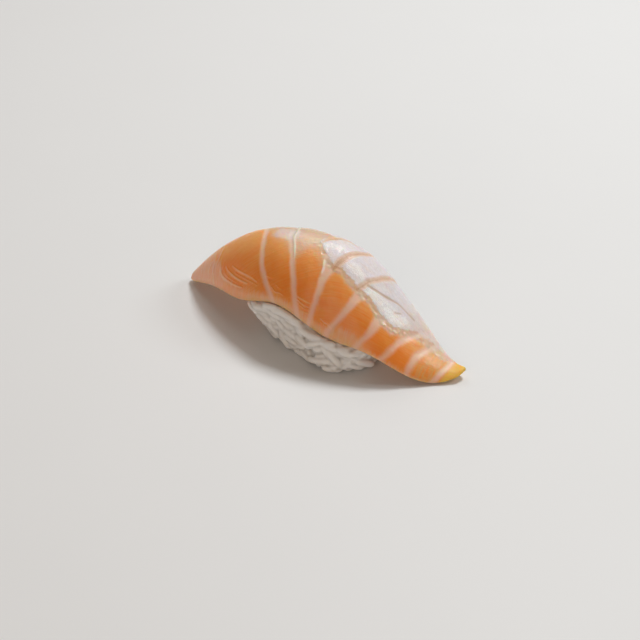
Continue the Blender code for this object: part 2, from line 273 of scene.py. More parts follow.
# Fat sheets with a raised edge: index, side of the edge, and where it rises and fades across the slice. Along these
# edges the flesh is also painted with a pale highlight streak.
LEDGES = ((1, 1.0, (-0.6, -0.3), (2.0, 1.5)), (2, -1.0, (-0.52, -0.42), (-0.25, -0.35)))


@dataclass(frozen=True)
class Hump:
    """A smooth hump along the slice: its top's place, the powers of its sides and its left shoulder's flatness."""

    top: float
    left: float
    right: float
    shoulder: float = 2.0


@dataclass(frozen=True)
class Relief:
    """Heights of the small forms on the slice's outer face, in millimetres; calm_back is their fall behind."""

    fat_groove: float = 0.12
    swell: float = 0.14
    ledge: float = 0.2
    membrane: float = 0.1
    crack: float = 0.09
    crack_lip: float = 0.08
    slit: float = 0.1
    fold: float = 0.08
    trough: float = 0.035
    border: float = 0.24
    waves: float = 0.05
    grain: float = 0.03
    calm_back: float = 0.7


@dataclass
class SalmonSlice:
    """The slice: a leaf-shaped sheet that arches over the rice, with its tips near the floor."""

    half_length: float = 45.0 * MM
    top: float = 29.4 * MM
    body_thickness: float = 5.2 * MM
    tip_thickness: float = 1.1 * MM
    tip_half_width: float = 0.7 * MM
    tip_top: float = 2.0 * MM
    tip_hem: float = 0.75 * MM
    lift: float = 1.3 * MM
    lift_length: float = 8.0 * MM
    arch: float = math.radians(72.0)
    hem_thinning: float = 0.6
    front_reach: float = 16.7 * MM
    front_rise: float = 12.3 * MM
    back_reach: float = 12.0 * MM
    back_rise: float = 14.0 * MM
    ripple: float = 1.4 * MM
    ripple_length: float = 30.7 * MM
    ripple_crest: float = 24.8 * MM
    columns: int = 264
    rings: int = 330
    outer_share: float = 0.74
    wrinkle: float = 0.28 * MM
    wrinkle_size: float = 13 * MM
    edge_share: float = 0.13
    tip_rounding: float = 1.0 * MM
    ridge_hump: Hump = Hump(1.6 * MM, 1.04, 1.96, 2.5)
    front_hump: Hump = Hump(7.6 * MM, 1.0, 0.64)
    front_rise_hump: Hump = Hump(-1.7 * MM, 1.31, 2.06)
    back_hump: Hump = Hump(-2 * MM, 0.93, 1.31)
    back_rise_hump: Hump = Hump(2 * MM, 1.31, 1.54)
    body_hump: Hump = Hump(4 * MM, 0.6, 0.75)
    even_hump: Hump = Hump(0.0, 0.5, 0.5)
    forms: Relief = Relief()

    def bell(self, x: Array, hump: Hump) -> Array:
        """A hump's height at x, from 0 at the tips to 1 at its top."""
        on_left = x < hump.top
        share = np.where(on_left, (hump.top - x) / (hump.top + self.half_length),
                         (x - hump.top) / (self.half_length - hump.top))
        base = 1.0 - np.clip(share, 0.0, 1.0) ** np.where(on_left, hump.shoulder, 2.0)
        return np.maximum(base, 0.0) ** np.where(on_left, hump.left, hump.right)

    def raised(self, x: Array) -> Array:
        """How far the right tip curls up at x."""
        start = self.half_length - self.lift_length
        return self.lift * np.maximum(0.0, (x - start) / self.lift_length) ** 2

    def ridge(self, x: Array) -> Array:
        """Height of the arch's highest line at x."""
        return self.tip_top + self.raised(x) + (self.top - self.tip_top) * self.bell(x, self.ridge_hump)

    def hem(self, x: Array, front: Array) -> tuple[Array, Array]:
        """The slice's lower edge on either side.

        Args:
            x: Places along the slice.
            front: True where the front hem is asked for.

        Returns:
            y and z of the edge.
        """
        front_y = -self.tip_half_width - self.front_reach * self.bell(x, self.front_hump)
        wave = np.cos(2 * np.pi * (x - self.ripple_crest) / self.ripple_length)
        front_z = self.front_rise * self.bell(x, self.front_rise_hump)
        front_z = front_z + self.ripple * wave * self.bell(x, self.even_hump)
        back_y = self.tip_half_width + self.back_reach * self.bell(x, self.back_hump)
        back_z = self.back_rise * self.bell(x, self.back_rise_hump)
        low = self.tip_hem + self.raised(x)
        return np.where(front, front_y, back_y), low + np.where(front, front_z, back_z)

    def outer(self, x: Array, across: Array) -> Array:
        """(n, 3) points of the outer face."""
        y_edge, z_edge = self.hem(x, across < 0)
        angle = np.abs(across) * self.arch
        reach = np.sin(angle) / math.sin(self.arch)
        drop = (1 - np.cos(angle)) / (1 - math.cos(self.arch))
        z_top = self.ridge(x)
        return np.stack([x, y_edge * reach, z_top - (z_top - z_edge) * drop], -1)

    def normals(self, x: Array, across: Array) -> Array:
        """Outward normals of the outer face."""
        step = 0.4 * MM
        left = np.maximum(x - step, -self.half_length)
        right = np.minimum(x + step, self.half_length)
        along = self.outer(right, across) - self.outer(left, across)
        over = self.outer(x, np.minimum(across + 0.01, 1.0)) - self.outer(x, np.maximum(across - 0.01, -1.0))
        normal = np.cross(along, over)
        return normal / np.linalg.norm(normal, axis=1)[:, None]

    def thickness(self, x: Array, across: Array) -> Array:
        """Thickness of the slice, thin at the tips and at the front hem."""
        body = self.tip_thickness + (self.body_thickness - self.tip_thickness) * self.bell(x, self.body_hump)
        return body * (1.0 - self.hem_thinning * smoothstep(0.45, 1.0, -across))

    def arc_length(self, x: Array, across: Array) -> Array:
        """Distance over the outer face from its top to the edge at x, in millimetres."""
        side = np.where(across < 0, -1.0, 1.0)
        steps = np.linspace(0.0, 1.0, 13)
        points = [self.outer(x, side * step) for step in steps]
        return sum(np.linalg.norm(b - a, axis=1) for a, b in zip(points, points[1:])) / MM

    def distance_to(self, stroke: Stroke, x: Array, across: Array, reach: Array) -> tuple[Array, Array]:
        """How far each point lies from a stroke.

        Args:
            stroke: The line on the slice.
            x: Places along the slice in millimetres.
            across: Shares across it.
            reach: Arc length of the points' side in millimetres.

        Returns:
            Millimetres from the stroke's edge, negative inside it, and the signed side of its middle line.
        """
        best = np.full(len(x), FAR)
        side = np.zeros(len(x))
        way = stroke.path()
        low, high = min(p[0] for p in way) - 6.0, max(p[0] for p in way) + 6.0
        near = np.flatnonzero((x > low) & (x < high))
        x, across, reach = x[near], across[near], reach[near]
        nearest = np.full(len(x), FAR)
        turned = np.zeros(len(x))
        for (x0, a0, w0), (x1, a1, w1) in zip(way, way[1:]):
            dx, ds = x1 - x0, (a1 - a0) * reach
            px, ps = x - x0, (across - a0) * reach
            share = np.clip((px * dx + ps * ds) / np.maximum(dx * dx + ds * ds, 1e-9), 0.0, 1.0)
            gap = np.hypot(px - share * dx, ps - share * ds) - (w0 + (w1 - w0) * share)
            closer = gap < nearest
            nearest = np.where(closer, gap, nearest)
            turned = np.where(closer, np.sign(px - share * dx), turned)
        best[near] = nearest
        side[near] = turned
        return best, side

    def nearest_of(self, strokes: tuple[Stroke, ...], x: Array, across: Array, reach: Array,
                   slack: float = 0.0) -> Array:
        """How far each point lies from the nearest of some strokes.

        Args:
            strokes: The lines.
            x: Places along the slice in millimetres.
            across: Shares across it.
            reach: Arc length of the points' side in millimetres.
            slack: Millimetres by which a stroke without strength is drawn thinner.

        Returns:
            Millimetres from the nearest stroke's edge.
        """
        best = np.full(len(x), FAR)
        for stroke in strokes:
            gap = self.distance_to(stroke, x, across, reach)[0]
            best = np.minimum(best, gap + (1.0 - stroke.strength) * slack)
        return best

    def ledges(self, x: Array, across: Array, reach: Array) -> Array:
        """Where the edge of a fat sheet stands up, 0..1, for points as in nearest_of."""
        ledge = np.zeros(len(x))
        for index, which, rises, fades in LEDGES:
            gap, side = self.distance_to(FAT_SHEETS[index], x, across, reach)
            lip = hill(gap, -0.1, 0.35) * (side == which) * smoothstep(*rises, across) * smoothstep(*fades, across)
            ledge = np.maximum(ledge, lip)
        return ledge

    def layout(self, x: Array, across: Array, points: Array) -> dict[str, Array]:
        """Where the slice's fat, membrane, cracks and wrinkles lie.

        Args:
            x: Places along the slice in millimetres.
            across: Shares across it.
            points: Places in the frame, for noise.

        Returns:
            Named values for each point: distances in millimetres and masks in 0..1.
        """
        reach = self.arc_length(x * MM, across)
        warp = rough(points, 2.6 * MM, 1.0)
        fine = rough(points, 0.9 * MM, 2.0)
        wavy, torn = x + 0.22 * warp, x + 0.15 * warp
        skin = (across - line_at(MEMBRANE_BORDER, x)) * reach + 0.45 * warp + 0.25 * fine
        left_end = x + 15.0 + 24.0 * smoothstep(0.05, 0.8, across) + 1.5 * warp
        skin = np.where(x > MEMBRANE_BORDER[-1][0], OFF_SKIN, np.minimum(skin, 0.6 * left_end))
        rim = (line_at(RIM_BORDER, x) - across) * reach + 0.5 * warp
        rim = np.maximum(rim, -0.34 * (x + 34.5) + 0.4 * warp)
        # Past the crest the left end gets the rim's pale colour too: partly painted sheen along its top edge.
        rim = np.maximum(rim, (across - line_at(CREST_SHEEN_BORDER, x)) * reach)
        return {
            "fat": self.nearest_of(FAT_SHEETS, wavy, across, reach, 0.8),
            "ledge": self.ledges(wavy, across, reach),
            "crease": self.nearest_of(CREASES, x, across, reach, 0.3),
            "crack": self.nearest_of(CRACKS, torn + 0.06 * fine, across, reach),
            "slit": self.nearest_of(SLITS, torn, across + 0.004 * fine, reach),
            "bright": self.nearest_of(SKIN_HIGHLIGHTS, x + 0.4 * warp, across, reach),
            "skin": skin,
            "rim": rim,
            "haze": (across - line_at(HAZE_BORDER, x)) * reach + 0.7 * warp,
            "patch": np.exp(-((x + 10.8 + 0.9 * warp) / 4.4) ** 4 - ((across + 0.09 + 0.03 * warp) / 0.11) ** 4),
            "reach": reach, "warp": warp, "fine": fine}

    def relief(self, x: Array, across: Array, zones: dict[str, Array]) -> Array:
        """Height of the small forms on the outer face, in metres."""
        size = self.forms
        crack, skin = zones["crack"], zones["skin"]
        swell = 1.0 - hill(np.maximum(zones["fat"], 0.0), 0.0, 2.5)
        height = -size.fat_groove * smoothstep(0.3, -0.5, zones["fat"]) + size.swell * swell
        height = height + size.ledge * zones["ledge"]
        on_skin = smoothstep(-0.6, 0.9, skin) * smoothstep(-2.0, 3.0, x)
        height = height + size.membrane * on_skin
        height = height - size.crack * smoothstep(0.45, -0.35, crack) * on_skin
        height = height + size.crack_lip * hill(crack, 0.7, 0.3) * on_skin
        height = height - size.slit * smoothstep(0.2, -0.1, zones["slit"]) * on_skin
        fold = hill(np.maximum(zones["crease"] + 0.04, 0.0), 0.0, 0.17)
        height = height + size.fold * fold - size.trough * hill(zones["crease"], 0.5, 0.3)
        border = hill(skin, -0.7, 0.55) * smoothstep(-3.0, 2.0, x)
        height = height + border * size.border * zones["fine"]
        height = height + size.waves * zones["warp"] + size.grain * zones["fine"]
        return height * MM * (1.0 - size.calm_back * smoothstep(0.6, 1.0, across))

    def wrap(self, mesh: bpy.types.Mesh) -> tuple[Array, Array, Array, Array]:
        """Reads a ball's vertices as places on the slice.

        Args:
            mesh: The ball, with its poles at the tips.

        Returns:
            x, share across, whether each vertex is on the outer face, and whether it is a pole.
        """
        ball = coordinates(mesh)
        polar = np.arccos(np.clip(ball[:, 2], -1.0, 1.0))
        pole = np.hypot(ball[:, 0], ball[:, 1]) < 1e-5
        x = -self.half_length * (1.0 - 2.0 * polar / np.pi)
        spin = (np.arctan2(ball[:, 1], ball[:, 0]) / (2 * np.pi)) % 1.0
        outer_side = spin < self.outer_share
        turn = np.where(outer_side, spin / self.outer_share * np.pi,
                        np.pi + (spin - self.outer_share) / (1 - self.outer_share) * np.pi)
        across = -np.cos(turn)
        even = np.where(outer_side, -1.0 + 2.0 * spin / self.outer_share, across)
        across = np.where(outer_side, 0.5 * across + 0.5 * even, across)
        return x, across, outer_side, pole

    def build(self) -> Piece:
        """Models the slice as one closed sheet.

        Returns:
            The piece, with its zones as attributes and its own UV map.
        """
        deselect()
        bpy.ops.mesh.primitive_uv_sphere_add(segments=self.columns, ring_count=self.rings, radius=1.0)
        piece = take_primitive("salmon_belly_slice")
        mesh = piece.data
        x, across, outer_side, pole = self.wrap(mesh)
        normal = self.normals(x, across)
        base = self.outer(x, across)
        zones = self.layout(x / MM, across, base)
        half = self.thickness(x, across) / 2
        wave = self.wrinkle * rough(base, self.wrinkle_size)
        edge = np.clip(1.0 - np.abs(across), 0.0, 1.0)
        fullness = np.clip(1.0 - (1.0 - np.minimum(edge / self.edge_share, 1.0)) ** 2.2, 0.0, 1.0) ** 0.5
        side = np.where(outer_side, 1.0, -1.0)
        middle = base - normal * (half - wave * self.bell(x, self.even_hump))[:, None]
        lifted = half + np.where(outer_side, self.relief(x / MM, across, zones), 0.0) * fullness
        skin = middle + normal * (lifted * fullness * side)[:, None]
        blunt = np.clip((self.half_length - np.abs(x)) / self.tip_rounding, 0.0, 1.0)
        roundness = np.sqrt(np.clip(1.0 - (1.0 - blunt) ** 2, 0.0, 1.0))[:, None]
        centre = self.outer(x, np.zeros_like(x)) * 0.5 + self.outer(x, np.full_like(x, -0.999)) * 0.25
        centre += self.outer(x, np.full_like(x, 0.999)) * 0.25
        skin = centre + (skin - centre) * roundness
        skin[pole] = centre[pole]
        set_coordinates(mesh, skin)
        for name, inner in (("fat", FAR), ("crease", FAR), ("crack", FAR), ("slit", FAR), ("skin", OFF_SKIN),
                            ("rim", 0.5), ("patch", 0.0), ("haze", OFF_SKIN), ("ledge", 0.0), ("bright", FAR)):
            store(mesh, name, np.where(outer_side, zones[name], inner))
        store(mesh, "along", x / MM)
        store(mesh, "across", across)
        self.unwrap(mesh, x / MM, np.where(outer_side, across * zones["reach"], across * 18.0 + 60.0))
        pick(piece)
        bpy.ops.object.shade_smooth()
        return piece

    def unwrap(self, mesh: bpy.types.Mesh, along: Array, over: Array) -> None:
        """Lays the UV map out in centimetres along the slice and over it."""
        corners = np.empty(len(mesh.loops), np.int32)
        mesh.loops.foreach_get("vertex_index", corners)
        layer = mesh.uv_layers[0]
        layer.name = "over_slice"
        flat = np.stack([along[corners] / 10.0, over[corners] / 10.0], -1)
        layer.data.foreach_set("uv", flat.astype(np.float32).ravel())


@dataclass(frozen=True)
class Bulge:
    """A bulge of the core's side: its angle and height, how far it stands out, and how wide and tall it is.

    Angles are in degrees, the rest in millimetres; one that stands out by less than nothing is a dent.
    """

    angle: float
    level: float
    out: float
    spread: float
    tall: float


@dataclass
class RiceBlock:
    """The pressed rice: a core under the slice and cooked grains stuck all over its sides.

    inset holds the core inside the solid's outline, tuck is how far it stays inside the slice's hem, and bite is
    the share of the slice's thickness that the grains keep off its outer face. The bulges and the hollow, which
    is given in millimetres, are those that show on the front.
    """

    columns: int = 96
    rings: int = 56
    centre: tuple[float, float] = (2.6 * MM, -2.2 * MM)
    askew: float = math.radians(-8.0)
    half_length: float = 20.4 * MM
    front_reach: float = 14.5 * MM
    front_bulge: float = 1.6 * MM
    bulge_place: float = 0.45
    bulge_spread: float = 0.3
    back_reach: float = 11.2 * MM
    height: float = 27.0 * MM
    waist: float = 6.0 * MM
    foot_flatness: float = 1.12
    squareness: float = 3.0
    undercut: float = 0.3
    undercut_height: float = 8.5 * MM
    tuck: float = 1.2 * MM
    bite: float = 0.5
    inset: float = 1.3 * MM
    grain_length: float = 5.8 * MM
    grain_width: float = 2.1 * MM
    grain_count: int = 820
    hem_grains: int = 50
    bulges: tuple[Bulge, ...] = (
        Bulge(-133.0, 9.0, 1.5, 13.0, 2.0), Bulge(-120.0, 6.0, 0.7, 9.0, 1.4), Bulge(-56.0, 0.9, 1.6, 10.0, 1.6),
        Bulge(-32.0, 1.5, 1.0, 16.0, 3.0), Bulge(-74.0, 4.2, 0.6, 8.0, 1.6), Bulge(-95.0, 5.6, 0.5, 8.0, 1.5),
        Bulge(-75.0, 3.9, -2.6, 4.5, 0.8))
    hollow: Triple = (5.6, -17.4, 3.9)
    hollow_size: Triple = (1.5, 2.4, 1.2)
    gap: float = 0.3 * MM
    grain_gap: float = 0.12 * MM
    grain_flatness: float = 0.86
    grain_bend: float = 0.1
    grain_tilt: float = 0.14
    grain_sizes: tuple[float, float] = (0.85, 1.12)
    grain_lifts: tuple[float, float] = (-0.1, 0.95)
    grain_tries: int = 10
    grain_step: float = 0.3 * MM
    hem_depths: tuple[float, float] = (1.0, 2.2)
    hem_swing: float = 0.15
    groove_reach: int = 14
    swing: float = math.radians(24.0)
    fineness: float = 0.24 * MM
    softening: int = 2
    seed: int = 5

    def under_slice(self, fish: SalmonSlice, points: Array, cover: float) -> Array:
        """Draws points of the block in under the slice's outer face.

        Args:
            fish: The slice that lies on the block.
            points: (n, 3) places.
            cover: Depth under the outer face, as a share of the slice's thickness.

        Returns:
            (n, 3) places, moved in where they stood too far out.
        """
        x, y, z = points.T
        z_top = fish.ridge(x)
        y_edge, z_edge = fish.hem(x, y < 0)
        fall = np.clip((z_top - z) / (z_top - z_edge), 0.0, 1.0) * (1 - math.cos(fish.arch))
        depth = cover * fish.thickness(x, np.where(y < 0, -np.arccos(1 - fall) / fish.arch, 0.0))
        z_in = np.minimum(z, z_top - depth)
        drop = np.clip((z_top - z_in) / (z_top - z_edge), 0.0, 1.0) * (1 - math.cos(fish.arch))
        reach = np.abs(y_edge) * np.sin(np.arccos(1 - drop)) / math.sin(fish.arch)
        y_in = np.copysign(np.minimum(np.abs(y), reach - depth), y)
        above = z_in > z_edge
        return np.stack([x, np.where(above, y_in, y), np.where(above, z_in, z)], -1)

    def plan(self, angle: float) -> tuple[float, float]:
        """Unit point of the block's rounded outline at an angle."""
        c, s = math.cos(angle), math.sin(angle)
        scale = (abs(c) ** self.squareness + abs(s) ** self.squareness) ** (-1.0 / self.squareness)
        return c * scale, s * scale

    def profile(self, level: float) -> tuple[float, float]:
        """Width share and height of the block's side; level runs from -1 at the foot to 1 at the top."""
        if level < 0:
            rise = self.waist * max(0.0, 1.0 + level * self.foot_flatness)
            return (1.0 - level ** 4) ** 0.25, rise
        return (1.0 - level ** 2.6) ** 0.4, self.waist + (self.height - self.waist) * level

    def core_place(self, spot: Vector) -> Triple:
        """Where a vertex of a unit ball stands on the core, before the slice presses on it."""
        width, rise = self.profile(max(-1.0, min(1.0, spot.z)))
        turn = math.atan2(spot.y, spot.x)
        c, s = self.plan(turn)
        low = 1.0 - float(smoothstep(0.0, self.undercut_height, np.array([rise]))[0])
        width *= 1.0 - self.undercut * low * max(0.0, -c) ** 1.5
        reach = self.back_reach
        if s < 0:
            reach = self.front_reach + self.front_bulge * math.exp(-((c - self.bulge_place) / self.bulge_spread) ** 2)
        angle = math.degrees(turn)
        push = sum(b.out * math.exp(-((angle - b.angle) / b.spread) ** 2 - ((rise / MM - b.level) / b.tall) ** 2)
                   for b in self.bulges)
        width *= 1.0 + push * MM / reach
        place = Vector(((self.half_length - self.inset) * c * width, (reach - self.inset) * s * width))
        place.rotate(Matrix.Rotation(self.askew, 2))
        place += Vector(self.centre)
        return place.x, place.y, max(rise, self.gap)

    def tucked(self, fish: SalmonSlice, points: Array) -> Array:
        """Draws the core's front to just inside the slice's hem, so that the grains there meet it."""
        y_hem, z_hem = fish.hem(points[:, 0], np.full(len(points), True))
        along = (points[:, 0] - self.centre[0]) / self.half_length
        near = hill(z_hem - points[:, 2], 1.4 * MM, 2.2 * MM) * smoothstep(0.95, 0.75, np.abs(along))
        out = y_hem + self.tuck - points[:, 1]
        points[:, 1] += out * near * (points[:, 1] < -0.5 * self.front_reach)
        return points

    def clear(self, spot: Vector, fish: SalmonSlice, fish_tree: BVHTree) -> Vector:
        """Moves a place of the core off the slice, where it lies on it or in it."""
        nearest, normal, _, _ = fish_tree.find_nearest(spot)
        if (spot - nearest).dot(normal) >= self.gap:
            return spot
        inner = normal.dot(Vector((0.0, nearest.y, nearest.z - 8 * MM))) < 0
        below = fish_tree.ray_cast(nearest - normal * 0.1 * MM, -normal)[3] or fish.body_thickness
        return nearest + normal * (self.gap if inner else -(below + 0.5 * MM))

    def build_core(self, fish: SalmonSlice, fish_tree: BVHTree) -> Piece:
        """Models the block's core, a little smaller than the solid it stands for.

        Args:
            fish: The slice that lies on the block.
            fish_tree: Its surface.

        Returns:
            The core piece.
        """
        deselect()
        bpy.ops.mesh.primitive_uv_sphere_add(segments=self.columns, ring_count=self.rings, radius=1.0)
        piece = take_primitive("rice_block")
        for vert in piece.data.vertices:
            vert.co = self.core_place(vert.co)
        points = self.tucked(fish, coordinates(piece.data))
        set_coordinates(piece.data, self.under_slice(fish, points, 1.0))
        for vert in piece.data.vertices:
            vert.co = self.clear(vert.co.copy(), fish, fish_tree)
        piece.data.update()
        return piece

    def grain_form(self) -> tuple[Array, list[tuple[int, ...]]]:
        """One cooked grain, plump and faintly bent.

        Returns:
            Its vertices and faces.
        """
        shape = bmesh.new()
        bmesh.ops.create_uvsphere(shape, u_segments=9, v_segments=9, radius=0.5)
        bmesh.ops.rotate(shape, verts=shape.verts, matrix=Matrix.Rotation(math.pi / 2, 3, "Y"))
        points = []
        for vert in shape.verts:
            x = vert.co.x * 2.0
            plump = (1.0 - abs(x) ** 3.6) ** 0.45 / (1.0 - x * x) ** 0.5 if abs(x) < 0.999 else 0.0
            y, z = vert.co.y * plump, vert.co.z * plump * self.grain_flatness
            points.append((vert.co.x * self.grain_length, y * self.grain_width,
                           z * self.grain_width + self.grain_bend * self.grain_width * (0.5 - x * x)))
        faces = [tuple(v.index for v in face.verts) for face in shape.faces]
        shape.free()
        return np.array(points), faces

    def aims(self, rng: random.Random, fish: SalmonSlice) -> list[tuple[Vector, Vector, float, float]]:
        """Where the grains are thrown from: all round the block, and then along the slice's front hem.

        Args:
            rng: The source of chance.
            fish: The slice's sizes.

        Returns:
            For each grain a start in the block, the way out, its mean turn off the level and the turn's spread.
        """
        aims = []
        turned = Matrix.Rotation(self.askew, 2)
        for index in range(self.grain_count):
            angle = 2 * math.pi * ((index * SPREAD_ROUND) % 1.0)
            rise = (0.8 + 19.0 * ((index * SPREAD_UP) % 1.0)) * MM
            c, s = self.plan(angle)
            way = Vector((c * self.half_length, s * self.front_reach))
            way.rotate(turned)
            aims.append((Vector((*self.centre, rise)), way.to_3d().normalized(), 0.0, self.swing))
        for index in range(self.hem_grains):
            x = self.centre[0] + self.half_length * (-0.84 + 1.74 * (index * SPREAD_ALONG % 1.0))
            hem = fish.hem(np.array([x - 2 * MM, x, x + 2 * MM]), np.full(3, True))[1]
            start = Vector((x, self.centre[1], hem[1] - rng.uniform(*self.hem_depths) * MM))
            aims.append((start, Vector((0, -1, 0)), math.atan2(hem[2] - hem[0], 4 * MM), self.hem_swing))
        return aims

    def build(self, fish_piece: Piece, fish: SalmonSlice) -> Piece:
        """Lays cooked grains over the core's sides and lets them stick together.

        Args:
            fish_piece: The finished slice.
            fish: Its sizes.

        Returns:
            The block as one piece, its grains fused where they touch.
        """
        rng = random.Random(self.seed)
        form, faces = self.grain_form()
        fish_tree = self.tree(fish_piece)
        core = self.build_core(fish, fish_tree)
        core_tree = self.tree(core)
        points = []
        for start, way, lean, swing in self.aims(rng, fish):
            hit, normal, _, _ = core_tree.ray_cast(start, way)
            turned_by = rng.gauss(lean, swing)
            grain = self.lay(rng, form, hit, normal, turned_by, fish_tree, fish) if hit else None
            if grain is not None:
                points.append(grain)
        polygons = [tuple(base * len(form) + v for v in face) for base in range(len(points)) for face in faces]
        LOG.info("rice grains placed: %d", len(points))
        mesh = bpy.data.meshes.new("grains")
        mesh.from_pydata(np.concatenate(points).tolist(), [], polygons)
        grains = bpy.data.objects.new("grains", mesh)
        bpy.context.scene.collection.objects.link(grains)
        pick(core, grains)
        bpy.ops.object.join()
        fuse = core.modifiers.new("fuse", "REMESH")
        fuse.mode = "VOXEL"
        fuse.voxel_size = self.fineness
        soften = core.modifiers.new("soften", "SMOOTH")
        soften.iterations = self.softening
        soften.factor = 0.5
        apply_modifiers(core)
        bpy.ops.object.shade_smooth()
        self.mark_grooves(core.data)
        return core

    def mark_grooves(self, mesh: bpy.types.Mesh) -> None:
        """Stores how deep each place lies between its grains, in millimetres, as the attribute groove, by which the
        rice is painted darker as shade.
        """
        points = coordinates(mesh)
        ends = np.empty(len(mesh.edges) * 2, np.int32)
        mesh.edges.foreach_get("vertices", ends)
        start, end = ends.reshape(-1, 2).T
        count = np.bincount(ends, minlength=len(points))[:, None]
        flat = np.empty(len(points) * 3, np.float32)
        mesh.vertices.foreach_get("normal", flat)
        even = points
        for _ in range(self.groove_reach):
            total = np.zeros_like(even)
            for axis in range(3):
                total[:, axis] = np.bincount(start, even[end, axis], len(points))
                total[:, axis] += np.bincount(end, even[start, axis], len(points))
            even = total / np.maximum(count, 1)
        store(mesh, "groove", ((even - points) * flat.reshape(-1, 3)).sum(1) / MM)

    def lay(self, rng: random.Random, form: Array, hit: Vector, normal: Vector, turned_by: float,
            fish_tree: BVHTree, fish: SalmonSlice) -> Array | None:
        """Lays one grain on the core, pressed in until it is clear of the slice.

        Args:
            rng: The source of chance.
            form: The grain's vertices.
            hit: Where it lies on the core.
            normal: The core's normal there.
            turned_by: Its turn off the level.
            fish_tree: The slice's surface.
            fish: The slice's sizes.

        Returns:
            The laid grain's vertices, or None where it finds no room.
        """
        along = Vector((-normal.y, normal.x, 0.0)).normalized()
        along.rotate(Matrix.Rotation(turned_by, 3, normal))
        along = (along + normal * rng.uniform(-self.grain_tilt, self.grain_tilt)).normalized()
        across = normal.cross(along).normalized()
        size = rng.uniform(*self.grain_sizes)
        turn = np.array(Matrix((along, across, along.cross(across))).transposed()) * size
        low = (0.46 * self.grain_width + 0.5 * abs(along.z) * self.grain_length) * size
        lift = rng.uniform(*self.grain_lifts) * MM
        for _ in range(self.grain_tries):
            spot = hit + normal * lift
            spot.z = max(spot.z, low)
            grain = form @ turn.T + np.array(spot)
            if self.fits(grain, fish_tree, fish):
                return grain
            lift -= self.grain_step
        return None

    def tree(self, piece: Piece) -> BVHTree:
        """A search tree over a piece's faces."""
        return BVHTree.FromObject(piece, bpy.context.evaluated_depsgraph_get())

    def fits(self, grain: Array, fish_tree: BVHTree, fish: SalmonSlice) -> bool:
        """Whether a grain stays off the slice, under its arch and above the floor."""
        if grain[:, 2].min() < 0.05 * MM:
            return False
        gap = (grain / MM - self.hollow) / self.hollow_size
        if (gap * gap).sum(1).min() < 0.5:
            return False
        if np.abs(self.under_slice(fish, grain, self.bite) - grain).max() > 0.02 * MM:
            return False
        for point in grain[::3]:
            nearest, normal, _, _ = fish_tree.find_nearest(Vector(point))
            if (Vector(point) - nearest).dot(normal) < self.grain_gap:
                return False
        return True


class Socket(Enum):
    """The shader inputs that a finish drives."""

    COLOUR = "Base Color"
    ROUGHNESS = "Roughness"
    COAT = "Coat Weight"
    NORMAL = "Normal"


